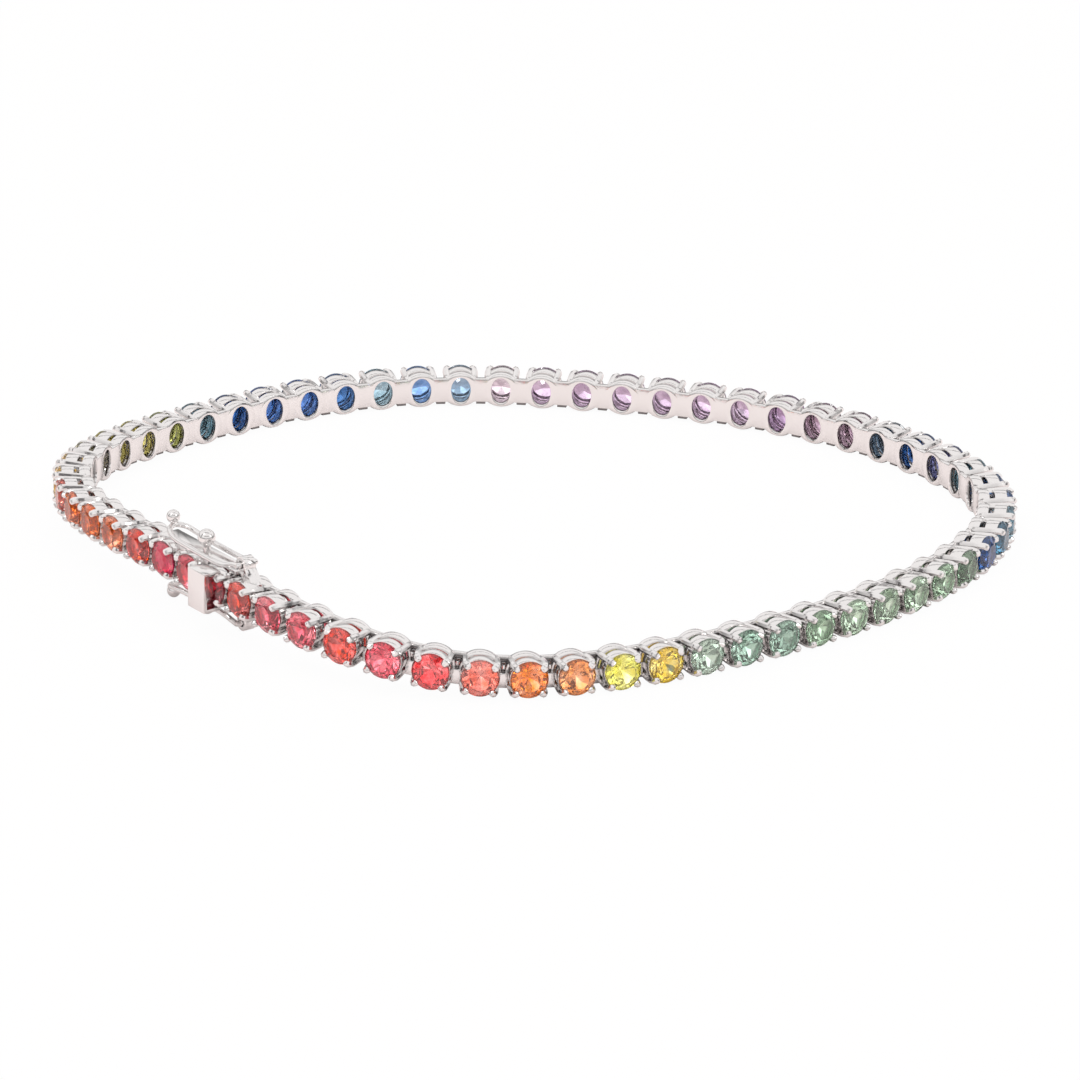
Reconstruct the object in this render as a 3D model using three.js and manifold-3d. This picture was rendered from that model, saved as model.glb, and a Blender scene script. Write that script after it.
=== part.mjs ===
// A tennis bracelet, closed and standing on its edge: two runs of links, a box clasp and its safety catches.
// Millimetres, +Z up. In a link's own frame X runs along the band, Y towards the wrist and Z across the band.
import * as THREE from "three";
import { mergeVertices } from "three/addons/utils/BufferGeometryUtils.js";
import Module from "manifold-3d";

const wasm = await Module();
wasm.setup();

// The band
const PITCH = 2.92;
const LINKS = 57;
const FRONT_RUN_LINKS = 28;
const HALF_WIDTH = 1.2;
const INNER_FACE = 1.25;
const ROUND_SIDES = 10;
const PIECE_GAP = 0.14;

// A stone and its basket
const STONE_DIAMETER = 2.4;
const TABLE_DIAMETER = 1.4;
const TABLE_FACE = 1.2;
const CROWN_HEIGHT = 0.38;
const WAIST_DIAMETER = 1.55;
const WAIST_BEHIND_GIRDLE = 0.92;
const RING_DEPTH = 0.8;
const HOLE_WIDTH = 1.44;
const HOLE_HEIGHT = 1.9;
const HOLE_DEPTH = 1.2;
const HOLE_SIDES = 6;
const PRONG_WIDTH = 0.36;
const PRONG_TIP_RADIUS = 1.19;
const PRONG_TIP_ANGLE = THREE.MathUtils.degToRad(48);
const PRONG_FOOT_RADIUS = 0.9;
const PRONG_FOOT_ANGLE = THREE.MathUtils.degToRad(54);
const PRONG_FACING = THREE.MathUtils.degToRad(50);
const PRONG_INTO_RING = 0.25;
const PRONG_PAST_GIRDLE = 0.02;

// The hinge plate between two links
const HINGE_HALF_HEIGHT = 0.7;
const HINGE_THICKNESS = 0.64;
const HINGE_REACH = 0.62;
const HINGE_BELOW_FACE = 0.06;

// The clasp: a box under three stations, then the last link, on the tongue
const BOX_STATIONS = 3;
const BOX_WALL = 0.28;
const BOX_FRONT = 0.35;
const BOX_FRONT_AT_TONGUE = 0.05;
const BOX_PAST_STONE = 0.08;
const TONGUE_THICKNESS = 0.5;
const TONGUE_CLEARANCE = 0.15;
const TONGUE_LENGTH = 6.8;

// The snap posts on the box
const POST_PAST_STONE = 0.5;
const POST_DEPTH = 0.3;
const POST_NECK_RADIUS = 0.24;
const POST_BALL_RADIUS = 0.52;
const POST_BALL_RISE = 1.0;

// The press tab in front of the tongue's stone
const TAB_THICKNESS = 0.25;
const TAB_WIDTH = 1.75;
const TAB_HALF_HEIGHT = 1.32;
const TAB_PROUD = 1.05;
const TAB_PAST_GIRDLE = 0.04;

// The lugs and the safety catches that turn in them
const LUG_THICKNESS = 0.8;
const LUG_WALL = 0.27;
const LUG_FOOT_LENGTH = 1.1;
const LUG_HEAD_FROM = THREE.MathUtils.degToRad(36);
const LUG_HEAD_TO = THREE.MathUtils.degToRad(234);
const LUG_HEAD_STEPS = 4;
const AXIS_BEFORE_LINK = 0.8;
const AXIS_RISE = 0.74;
const WIRE_RADIUS = 0.18;
const WIRE_SIDES = 5;
const WIRE_CLEARANCE = 0.13;
const PIN_CLEARANCE = 0.08;
const CATCH_LENGTH = 8.3;
const CATCH_ABOVE_WALL = 0.38;
const CATCH_TIP_ABOVE_WALL = 0.8;
const CATCH_BENDS_AT = 0.6;
const CATCH_WIDE_AT = 1.7;
const CATCH_RISE_LENGTH = 1.5;
const CATCH_CURL_LENGTH = 0.45;
const CATCH_CURL_NARROWING = 0.72;
const CATCH_STEPS = 16;
const TIP_BALL_RADIUS = 0.44;
const TIP_BALL_ABOVE_WIRE = 0.52;
const TIP_BALL_PAST_WIRE = 0.12;

// The clasp hangs clear of the surface by its lower catch, and the links settle to the surface on both sides.
const FLOOR_CLEARANCE = 0.03;
const FRONT_SETTLE_LINKS = 7;
const BACK_SETTLE_LINKS = 12;

// The band's plan: the clasp's middle and heading, then the way round from its right end to its left end
const CLASP_MIDDLE = new THREE.Vector3(-20.7, -13.4, 0);
const CLASP_HEADING = THREE.MathUtils.degToRad(-53.8);
const ROUTE = [
  [-13.3, -22.0],
  [-6.5, -25.1],
  [2.9, -24.1],
  [16.0, -16.5],
  [26.2, -5.8],
  [30.1, 3.7],
  [28.9, 11.9],
  [21.0, 21.5],
  [10.8, 26.9],
  [-5.6, 29.7],
  [-15.2, 26.9],
  [-27.2, 16.9],
  [-30.9, 8.5],
  [-30.0, 0.5],
  [-25.0, -7.8],
];

const METAL = new THREE.MeshStandardMaterial({
  name: "white_gold",
  color: 0xdcd8da,
  metalness: 1,
  roughness: 0.16,
  flatShading: true,
});

const SAME_POINT = 1e-4;
const FLAT_WITHIN = 0.002;
const PAST_SURFACE = 1;
const CURVE_SAMPLES = 1500;
const SPREAD_LIMITS = [0.3, 3];
const SPREAD_TRIALS = 40;
const UP = new THREE.Vector3(0, 0, 1);

// A closed geometry as a solid: only positions are kept, shared corners are merged and empty triangles dropped.
function solid(geometry) {
  const bare = new THREE.BufferGeometry();
  bare.setAttribute("position", geometry.getAttribute("position"));
  bare.setIndex(geometry.index);
  const merged = mergeVertices(bare, SAME_POINT);
  const index = merged.index.array;
  const corners = [];
  for (let i = 0; i < index.length; i += 3) {
    const [a, b, c] = [index[i], index[i + 1], index[i + 2]];
    if (a !== b && b !== c && c !== a) corners.push(a, b, c);
  }
  const vertProperties = merged.getAttribute("position").array;
  return new wasm.Manifold(new wasm.Mesh({ numProp: 3, vertProperties, triVerts: new Uint32Array(corners) }));
}

function union(solids) {
  return solids.reduce((whole, next) => whole.add(next));
}

// Flat faces that a join cut into slivers are made whole again.
function cleaned(shape) {
  return shape.asOriginal().simplify(FLAT_WITHIN);
}

function node(name, shape) {
  const { vertProperties, triVerts } = cleaned(shape).getMesh();
  const geometry = new THREE.BufferGeometry();
  geometry.setAttribute("position", new THREE.BufferAttribute(vertProperties, 3));
  geometry.setIndex(new THREE.BufferAttribute(triVerts, 1));
  const mesh = new THREE.Mesh(geometry, METAL);
  mesh.name = name;
  return mesh;
}

function block([x0, x1], [y0, y1], [z0, z1]) {
  const geometry = new THREE.BoxGeometry(x1 - x0, y1 - y0, z1 - z0);
  geometry.translate((x0 + x1) / 2, (y0 + y1) / 2, (z0 + z1) / 2);
  return solid(geometry);
}

// A square bar between two points, one side of it facing the way given.
function squareBar(from, to, width, facing) {
  const along = new THREE.Vector3().subVectors(to, from);
  const geometry = new THREE.BoxGeometry(width, along.length(), width);
  along.normalize();
  const across = new THREE.Vector3().crossVectors(along, facing).normalize();
  const out = new THREE.Vector3().crossVectors(across, along);
  const middle = new THREE.Vector3().addVectors(from, to).multiplyScalar(0.5);
  geometry.applyMatrix4(new THREE.Matrix4().makeBasis(across, along, out).setPosition(middle));
  return solid(geometry);
}

// A round bar along Y or Z through a point.
function roundBar(axis, centre, radius, length, sides) {
  const geometry = new THREE.CylinderGeometry(radius, radius, length, sides);
  if (axis === "z") geometry.rotateX(Math.PI / 2);
  geometry.translate(...centre);
  return solid(geometry);
}

function ball(centre, radius) {
  const geometry = new THREE.IcosahedronGeometry(radius, 1);
  geometry.translate(...centre);
  return solid(geometry);
}

function polygon(radius, sides) {
  const corner = (i) => (i / sides) * Math.PI * 2;
  return Array.from({ length: sides }, (_, i) => {
    return new THREE.Vector2(Math.cos(corner(i)), Math.sin(corner(i))).multiplyScalar(radius);
  });
}

function mirrored(shape) {
  return shape.mirror([0, 0, 1]);
}

// A round solid about Y with a flat at its top and bottom, from rows of radius and place along Y.
function turned(profile) {
  const apothem = Math.cos(Math.PI / ROUND_SIDES);
  const points = profile.map(([radius, y]) => new THREE.Vector2(radius / apothem, y));
  return solid(new THREE.LatheGeometry(points, ROUND_SIDES, Math.PI / ROUND_SIDES));
}

const GIRDLE = -TABLE_FACE + CROWN_HEIGHT;
const WAIST = GIRDLE + WAIST_BEHIND_GIRDLE;
const CUT_STONE = [
  [0, -TABLE_FACE],
  [TABLE_DIAMETER / 2, -TABLE_FACE],
  [STONE_DIAMETER / 2, GIRDLE],
  [WAIST_DIAMETER / 2, WAIST],
];

// Four prongs from a depth behind the stone to the edge of its crown.
function prongs(footDepth, footRadius) {
  const bars = [];
  for (const side of [-1, 1]) {
    for (const up of [-1, 1]) {
      const at = (angle) => new THREE.Vector3(side * Math.cos(angle), 0, up * Math.sin(angle));
      const tip = at(PRONG_TIP_ANGLE).multiplyScalar(PRONG_TIP_RADIUS).setY(GIRDLE + PRONG_PAST_GIRDLE);
      const foot = at(PRONG_FOOT_ANGLE).multiplyScalar(footRadius).setY(footDepth);
      bars.push(squareBar(tip, foot, PRONG_WIDTH, at(PRONG_FACING)));
    }
  }
  return bars;
}

// A link: the stone in its four prongs, and the base ring with its oval hole on the wrist's side.
function makeLink() {
  const ringTop = INNER_FACE - RING_DEPTH;
  const body = turned([...CUT_STONE, [HALF_WIDTH, ringTop], [HALF_WIDTH, INNER_FACE], [0, INNER_FACE]]);
  const hole = new THREE.ConeGeometry(1, HOLE_DEPTH, HOLE_SIDES);
  hole.rotateX(Math.PI);
  hole.rotateY(Math.PI / HOLE_SIDES);
  hole.scale(HOLE_WIDTH / 2, 1, HOLE_HEIGHT / 2);
  hole.translate(0, INNER_FACE - HOLE_DEPTH / 2, 0);
  const basket = prongs(ringTop + PRONG_INTO_RING, PRONG_FOOT_RADIUS);
  return cleaned(union([body, ...basket]).subtract(solid(hole)));
}

// The hinge plate from one link's ring to the next, or to just short of the middle between two pieces.
function hingePlate(from, to) {
  const face = INNER_FACE - HINGE_BELOW_FACE;
  return block([from, to], [face - HINGE_THICKNESS, face], [-HINGE_HALF_HEIGHT, HINGE_HALF_HEIGHT]);
}

const LINK = makeLink();
const PLATE = hingePlate(-HINGE_REACH, HINGE_REACH);
const PLATE_TO_RIGHT = hingePlate(PITCH / 2 - HINGE_REACH, PITCH / 2 - PIECE_GAP / 2);
const PLATE_TO_LEFT = hingePlate(-PITCH / 2 + PIECE_GAP / 2, -PITCH / 2 + HINGE_REACH);

// The frame of a piece that spans two points of the band: X from one to the other, Z upright.
function spanFrame(from, to) {
  const along = new THREE.Vector3().subVectors(to, from).normalize();
  const inward = new THREE.Vector3().crossVectors(UP, along).normalize();
  const across = new THREE.Vector3().crossVectors(along, inward);
  const middle = new THREE.Vector3().addVectors(from, to).multiplyScalar(0.5);
  return new THREE.Matrix4().makeBasis(along, inward, across).setPosition(middle);
}

const CLASP_LENGTH = (BOX_STATIONS + 1) * PITCH;
const CATCH_REST_HEIGHT = HALF_WIDTH + CATCH_TIP_ABOVE_WALL + TIP_BALL_ABOVE_WIRE + TIP_BALL_RADIUS;
const CLASP_LIFT = CATCH_REST_HEIGHT - HALF_WIDTH + FLOOR_CLEARANCE;

// Points at equal steps along the part of a closed curve from its start to the parameter given, and its length.
function walk(curve, end, steps) {
  const fine = Array.from({ length: CURVE_SAMPLES + 1 }, (_, i) => curve.getPoint((i / CURVE_SAMPLES) * end));
  const travelled = [0];
  for (let i = 1; i < fine.length; i += 1) travelled.push(travelled[i - 1] + fine[i].distanceTo(fine[i - 1]));
  const length = travelled.at(-1);
  const points = [];
  for (let step = 0, i = 0; step <= steps; step += 1) {
    const goal = (step / steps) * length;
    while (i < fine.length - 2 && travelled[i + 1] < goal) i += 1;
    points.push(fine[i].clone().lerp(fine[i + 1], (goal - travelled[i]) / (travelled[i + 1] - travelled[i])));
  }
  return { points, length };
}

// The plan is spread from the clasp until all the links fit on it at their pitch.
function hingePoints() {
  const half = new THREE.Vector3(CLASP_LENGTH / 2, 0, 0).applyAxisAngle(UP, CLASP_HEADING);
  const right = CLASP_MIDDLE.clone().add(half);
  const left = CLASP_MIDDLE.clone().sub(half);
  let [low, high] = SPREAD_LIMITS;
  let found;
  for (let i = 0; i < SPREAD_TRIALS; i += 1) {
    const spread = (low + high) / 2;
    const round = ROUTE.map(([x, y]) => new THREE.Vector3(x, y, 0).sub(CLASP_MIDDLE).multiplyScalar(spread));
    const points = [right, ...round.map((point) => point.add(CLASP_MIDDLE)), left, CLASP_MIDDLE];
    const curve = new THREE.CatmullRomCurve3(points, true, "centripetal");
    found = walk(curve, (points.length - 2) / points.length, LINKS);
    if (found.length < LINKS * PITCH) low = spread;
    else high = spread;
  }
  const { smoothstep } = THREE.MathUtils;
  return found.points.map((point, i) => {
    const front = 1 - smoothstep(i, 0, FRONT_SETTLE_LINKS);
    const back = 1 - smoothstep(LINKS - i, 0, BACK_SETTLE_LINKS);
    return point.setZ(HALF_WIDTH + CLASP_LIFT * Math.max(front, back));
  });
}

// A run of links joined by their hinge plates, with a half plate at each end towards the piece that it meets.
function linkRun(hinges) {
  const frames = hinges.slice(1).map((hinge, i) => spanFrame(hinges[i], hinge));
  const centres = frames.map((frame) => new THREE.Vector3().setFromMatrixPosition(frame));
  const pieces = frames.map((frame) => LINK.transform(frame.elements));
  for (let i = 1; i < frames.length; i += 1) {
    pieces.push(PLATE.transform(spanFrame(centres[i - 1], centres[i]).elements));
  }
  pieces.push(PLATE_TO_LEFT.transform(frames[0].elements), PLATE_TO_RIGHT.transform(frames.at(-1).elements));
  return union(pieces);
}

// Stations of the clasp, in its own frame, whose origin is its middle
const stationX = (i) => (i - BOX_STATIONS / 2) * PITCH;
const BOX_RIGHT = stationX(BOX_STATIONS - 1) + STONE_DIAMETER / 2 + BOX_PAST_STONE;
const BOX_LEFT = -CLASP_LENGTH / 2 + PIECE_GAP / 2;
const TONGUE_STONE_X = stationX(BOX_STATIONS - 1);
const LAST_LINK_X = stationX(BOX_STATIONS);
const POST_X = stationX(1) + POST_PAST_STONE;
const AXIS_X = LAST_LINK_X - AXIS_BEFORE_LINK;
const AXIS_Z = HALF_WIDTH + AXIS_RISE;
const CAVITY_HALF = HALF_WIDTH - BOX_WALL;

// The box: two stones on its front, open to the tongue at its right end, with a snap post on each wall.
function makeBox() {
  const shell = block([BOX_LEFT, BOX_RIGHT], [-BOX_FRONT, INNER_FACE], [-HALF_WIDTH, HALF_WIDTH]);
  const cavityLeft = TONGUE_STONE_X + STONE_DIAMETER / 2 - TONGUE_LENGTH;
  const cavity = block(
    [cavityLeft, BOX_RIGHT + PAST_SURFACE],
    [-BOX_FRONT + BOX_WALL, INNER_FACE - BOX_WALL],
    [-CAVITY_HALF, CAVITY_HALF],
  );
  const frontCut = TONGUE_STONE_X - STONE_DIAMETER / 2 - PIECE_GAP;
  const window = block(
    [frontCut, BOX_RIGHT + PAST_SURFACE],
    [-TABLE_FACE, BOX_FRONT_AT_TONGUE],
    [-HALF_WIDTH - PAST_SURFACE, HALF_WIDTH + PAST_SURFACE],
  );
  const stones = [];
  for (const station of [0, 1]) {
    const stone = turned([...CUT_STONE, [0, WAIST]]);
    const setting = union([stone, ...prongs(-BOX_FRONT + BOX_WALL / 2, PRONG_TIP_RADIUS - PRONG_WIDTH / 2)]);
    stones.push(setting.translate([stationX(station), 0, 0]));
  }
  const top = HALF_WIDTH + POST_BALL_RISE;
  const middle = [POST_X, POST_DEPTH, top - POST_BALL_RISE / 2 - BOX_WALL / 4];
  const neck = roundBar("z", middle, POST_NECK_RADIUS, POST_BALL_RISE, WIRE_SIDES + 1);
  const post = neck.add(ball([POST_X, POST_DEPTH, top], POST_BALL_RADIUS));
  return union([shell, ...stones]).subtract(cavity).subtract(window).add(post).add(mirrored(post));
}

// A lug: a rounded plate that rises from the last link's ring to the catch's axis and holds it in a bore.
function makeLug() {
  const bore = WIRE_RADIUS + PIN_CLEARANCE;
  const head = bore + LUG_WALL;
  const outline = new THREE.Shape();
  outline.moveTo(LAST_LINK_X - LUG_FOOT_LENGTH / 2, HALF_WIDTH - BOX_WALL);
  outline.lineTo(LAST_LINK_X + LUG_FOOT_LENGTH / 2, HALF_WIDTH - BOX_WALL);
  outline.absarc(AXIS_X, AXIS_Z, head, LUG_HEAD_FROM, LUG_HEAD_TO, false);
  const around = polygon(bore / Math.cos(Math.PI / ROUND_SIDES), ROUND_SIDES);
  outline.holes.push(new THREE.Path(around.map((point) => point.add(new THREE.Vector2(AXIS_X, AXIS_Z)))));
  const plate = { depth: LUG_THICKNESS, bevelEnabled: false, curveSegments: LUG_HEAD_STEPS };
  const geometry = new THREE.ExtrudeGeometry(outline, plate);
  geometry.rotateX(Math.PI / 2);
  geometry.translate(0, POST_DEPTH + LUG_THICKNESS / 2, 0);
  return solid(geometry);
}

// The tongue in the box, its stone behind the press tab, and the last link with a lug on each side.
function makeTongue() {
  const back = INNER_FACE - BOX_WALL - TONGUE_CLEARANCE;
  const half = CAVITY_HALF - TONGUE_CLEARANCE;
  const left = TONGUE_STONE_X + STONE_DIAMETER / 2 - TONGUE_LENGTH + TONGUE_CLEARANCE;
  const strip = block([left, LAST_LINK_X - STONE_DIAMETER / 4], [back - TONGUE_THICKNESS, back], [-half, half]);
  const stone = turned([...CUT_STONE, [0, back - TONGUE_THICKNESS / 2]]);
  const setting = union([stone, ...prongs(back - TONGUE_THICKNESS / 2, CAVITY_HALF - PRONG_WIDTH)]);
  const front = -TABLE_FACE - TAB_PROUD;
  const wide = [TONGUE_STONE_X - TAB_WIDTH / 2, TONGUE_STONE_X + TAB_WIDTH / 2];
  const arms = TAB_HALF_HEIGHT - TAB_THICKNESS;
  const solidTab = block(wide, [front, GIRDLE + TAB_PAST_GIRDLE], [-TAB_HALF_HEIGHT, TAB_HALF_HEIGHT]);
  const between = [front + TAB_THICKNESS, GIRDLE + PAST_SURFACE];
  const across = [wide[0] - PAST_SURFACE, wide[1] + PAST_SURFACE];
  const tab = solidTab.subtract(block(across, between, [-arms, arms]));
  const link = LINK.add(PLATE_TO_RIGHT).translate([LAST_LINK_X, 0, 0]);
  const lug = makeLug();
  return union([strip, setting.translate([TONGUE_STONE_X, 0, 0]), tab, link, lug, mirrored(lug)]);
}

// A wire of round section along a path.
function wire(points, steps) {
  const section = new THREE.Shape(polygon(WIRE_RADIUS, WIRE_SIDES));
  const path = new THREE.CatmullRomCurve3(points, false, "centripetal");
  return solid(new THREE.ExtrudeGeometry(section, { steps, extrudePath: path }));
}

// A safety catch: a long loop of wire hinged in the lug, over the snap post, with a ball to lift it by.
function makeCatch() {
  const atLug = LUG_THICKNESS / 2 + WIRE_CLEARANCE + WIRE_RADIUS;
  const atPost = POST_BALL_RADIUS + WIRE_CLEARANCE + WIRE_RADIUS;
  const low = HALF_WIDTH + CATCH_ABOVE_WALL;
  const tipZ = HALF_WIDTH + CATCH_TIP_ABOVE_WALL;
  const tipX = AXIS_X - CATCH_LENGTH;
  const strand = [
    [AXIS_X + WIRE_RADIUS / 2, atLug, AXIS_Z],
    [AXIS_X - CATCH_BENDS_AT, atLug, AXIS_Z - WIRE_RADIUS / 2],
    [AXIS_X - CATCH_WIDE_AT, atPost, low],
    [POST_X, atPost, low],
    [tipX + CATCH_RISE_LENGTH, atPost, low + WIRE_RADIUS / 2],
    [tipX + CATCH_CURL_LENGTH, atPost * CATCH_CURL_NARROWING, (low + tipZ + WIRE_RADIUS) / 2],
  ];
  const near = strand.map(([x, y, z]) => new THREE.Vector3(x, POST_DEPTH - y, z));
  const far = strand.map(([x, y, z]) => new THREE.Vector3(x, POST_DEPTH + y, z)).reverse();
  const loop = wire([...near, new THREE.Vector3(tipX, POST_DEPTH, tipZ), ...far], CATCH_STEPS);
  const barLength = 2 * (atLug + WIRE_RADIUS);
  const pin = roundBar("y", [AXIS_X, POST_DEPTH, AXIS_Z], WIRE_RADIUS, barLength, WIRE_SIDES + 1);
  const tip = [tipX - TIP_BALL_PAST_WIRE, POST_DEPTH, tipZ + TIP_BALL_ABOVE_WIRE];
  return union([loop, pin, ball(tip, TIP_BALL_RADIUS)]);
}

const hinges = hingePoints();
const bracelet = new THREE.Group();
bracelet.add(node("link_run_front", linkRun(hinges.slice(0, FRONT_RUN_LINKS + 1))));
bracelet.add(node("link_run_back", linkRun(hinges.slice(FRONT_RUN_LINKS))));

const clasp = new THREE.Group();
const safetyCatch = makeCatch();
clasp.add(node("clasp_box", makeBox()));
clasp.add(node("clasp_tongue", makeTongue()));
clasp.add(node("safety_catch_top", safetyCatch));
clasp.add(node("safety_catch_bottom", mirrored(safetyCatch)));
clasp.position.copy(CLASP_MIDDLE).setZ(HALF_WIDTH + CLASP_LIFT);
clasp.rotation.z = CLASP_HEADING;
bracelet.add(clasp);

// The origin is under the middle of the whole, on the surface that it stands on.
const bounds = new THREE.Box3().setFromObject(bracelet, true);
bracelet.position.set(-(bounds.min.x + bounds.max.x) / 2, -(bounds.min.y + bounds.max.y) / 2, -bounds.min.z);

export default bracelet;
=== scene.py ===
# The looks of a tennis bracelet: 61 round stones in white gold settings, a box clasp and two safety
# catches. Each piece is made in millimetres round its own origin, then set in its place in metres.
import math

import bmesh
import bpy
from mathutils import Matrix, Vector


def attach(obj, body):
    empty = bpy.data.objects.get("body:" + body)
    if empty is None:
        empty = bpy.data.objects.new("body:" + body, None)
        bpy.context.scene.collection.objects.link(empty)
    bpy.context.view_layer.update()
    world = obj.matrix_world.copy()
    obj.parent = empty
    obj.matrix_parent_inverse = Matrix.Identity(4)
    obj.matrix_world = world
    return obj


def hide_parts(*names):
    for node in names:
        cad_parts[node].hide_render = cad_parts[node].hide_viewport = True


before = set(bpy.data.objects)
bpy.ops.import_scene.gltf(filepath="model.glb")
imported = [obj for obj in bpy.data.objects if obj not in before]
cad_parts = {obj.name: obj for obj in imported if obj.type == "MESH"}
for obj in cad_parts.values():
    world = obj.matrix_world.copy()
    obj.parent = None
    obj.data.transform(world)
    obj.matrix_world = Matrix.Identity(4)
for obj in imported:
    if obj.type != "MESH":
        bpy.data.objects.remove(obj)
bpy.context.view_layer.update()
MM = 0.001
BODY = "bracelet"

# The way that the band lies. The links hang on one another in a slack closed line that was laid down
# by hand on its edge, so its plan is an uneven round. The route's points are those of the part's source.
PITCH = 2.92
LINKS = 57
FRONT_RUN_LINKS = 28
HALF_WIDTH = 1.2
CLASP_LIFT = 1.79
CLASP_MIDDLE = Vector((-20.7, -13.4, 0))
CLASP_HEADING = math.radians(-53.8)
CLASP_STATIONS = 4
FRONT_SETTLE_LINKS = 7
BACK_SETTLE_LINKS = 12
MOVED_TO_MIDDLE = Vector((0.41483, -2.22287, 0))
CURVE_SAMPLES = 1500
LEAST_GAP = 1e-4
SPREAD_LIMITS = (0.9, 1.1)
SPREAD_TRIALS = 30
ROUTE = [
    (-13.3, -22.0),
    (-6.5, -25.1),
    (2.9, -24.1),
    (16.0, -16.5),
    (26.2, -5.8),
    (30.1, 3.7),
    (28.9, 11.9),
    (21.0, 21.5),
    (10.8, 26.9),
    (-5.6, 29.7),
    (-15.2, 26.9),
    (-27.2, 16.9),
    (-30.9, 8.5),
    (-30.0, 0.5),
    (-25.0, -7.8),
]


def on_closed_curve(points, t):
    """A point of the smooth closed curve through the points, t from 0 to 1."""
    count = len(points)
    step = int(count * t)
    share = count * t - step
    a, b, c, d = (points[(step + i) % count] for i in (-1, 0, 1, 2))
    gaps = ((a, b), (b, c), (c, d))
    before, here, after = (max((q - p).length, LEAST_GAP) ** 0.5 for p, q in gaps)
    leaving = ((b - a) / before - (c - a) / (before + here) + (c - b) / here) * here
    arriving = ((c - b) / here - (d - b) / (here + after) + (d - c) / after) * here
    square = (c - b) * 3 - leaving * 2 - arriving
    cube = (b - c) * 2 + leaving + arriving
    return b + leaving * share + square * share**2 + cube * share**3


def walked(points, end, steps):
    """Points at equal steps along the curve from its start to t = end, and the length walked."""
    fine = [on_closed_curve(points, end * i / CURVE_SAMPLES) for i in range(CURVE_SAMPLES + 1)]
    travelled = [0.0]
    for before, after in zip(fine, fine[1:]):
        travelled.append(travelled[-1] + (after - before).length)
    stops = []
    at = 0
    for step in range(steps + 1):
        goal = travelled[-1] * step / steps
        while at < CURVE_SAMPLES - 1 and travelled[at + 1] < goal:
            at += 1
        share = (goal - travelled[at]) / (travelled[at + 1] - travelled[at])
        stops.append(fine[at].lerp(fine[at + 1], share))
    return stops, travelled[-1]


def smooth_step(value, end):
    """Eases from 0 where the value is 0 to 1 where it has reached the end."""
    share = min(max(value / end, 0), 1)
    return share * share * (3 - 2 * share)


def hinge_points():
    """Where each link is hinged to the next, from the clasp's right end round to its left end.

    The route is spread about the clasp until the links just fill it, and the band is raised towards the
    clasp, which stands above the table.
    """
    half = Matrix.Rotation(CLASP_HEADING, 3, "Z") @ Vector((CLASP_STATIONS * PITCH / 2, 0, 0))
    low, high = SPREAD_LIMITS
    for _ in range(SPREAD_TRIALS):
        spread = (low + high) / 2
        plan = [CLASP_MIDDLE + half]
        plan += [CLASP_MIDDLE + (Vector((x, y, 0)) - CLASP_MIDDLE) * spread for x, y in ROUTE]
        plan += [CLASP_MIDDLE - half, CLASP_MIDDLE]
        stops, length = walked(plan, (len(plan) - 2) / len(plan), LINKS)
        if length < LINKS * PITCH:
            low = spread
        else:
            high = spread
    for i, stop in enumerate(stops):
        raised_front = 1 - smooth_step(i, FRONT_SETTLE_LINKS)
        raised_back = 1 - smooth_step(LINKS - i, BACK_SETTLE_LINKS)
        stop += MOVED_TO_MIDDLE
        stop.z = HALF_WIDTH + CLASP_LIFT * max(raised_front, raised_back)
    return stops


def span_place(start, end):
    """The place between two points: X from one to the other, Y towards the wrist, Z upright."""
    along = (end - start).normalized()
    inward = Vector((0, 0, 1)).cross(along).normalized()
    turn = Matrix((along, inward, along.cross(inward))).transposed()
    return Matrix.Translation((start + end) / 2) @ turn.to_4x4()


hinges = hinge_points()
link_places = [span_place(a, b) for a, b in zip(hinges, hinges[1:])]
link_middles = [place.translation for place in link_places]
plate_places = [span_place(a, b) for a, b in zip(link_middles, link_middles[1:])]
clasp_centre = CLASP_MIDDLE + MOVED_TO_MIDDLE + Vector((0, 0, HALF_WIDTH + CLASP_LIFT))
clasp_place = Matrix.Translation(clasp_centre) @ Matrix.Rotation(CLASP_HEADING, 4, "Z")


def station_x(i):
    """The clasp's own X of its stations: 0 and 1 on the box, 2 on the tongue, 3 the last link."""
    return (i - 1.5) * PITCH


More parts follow.
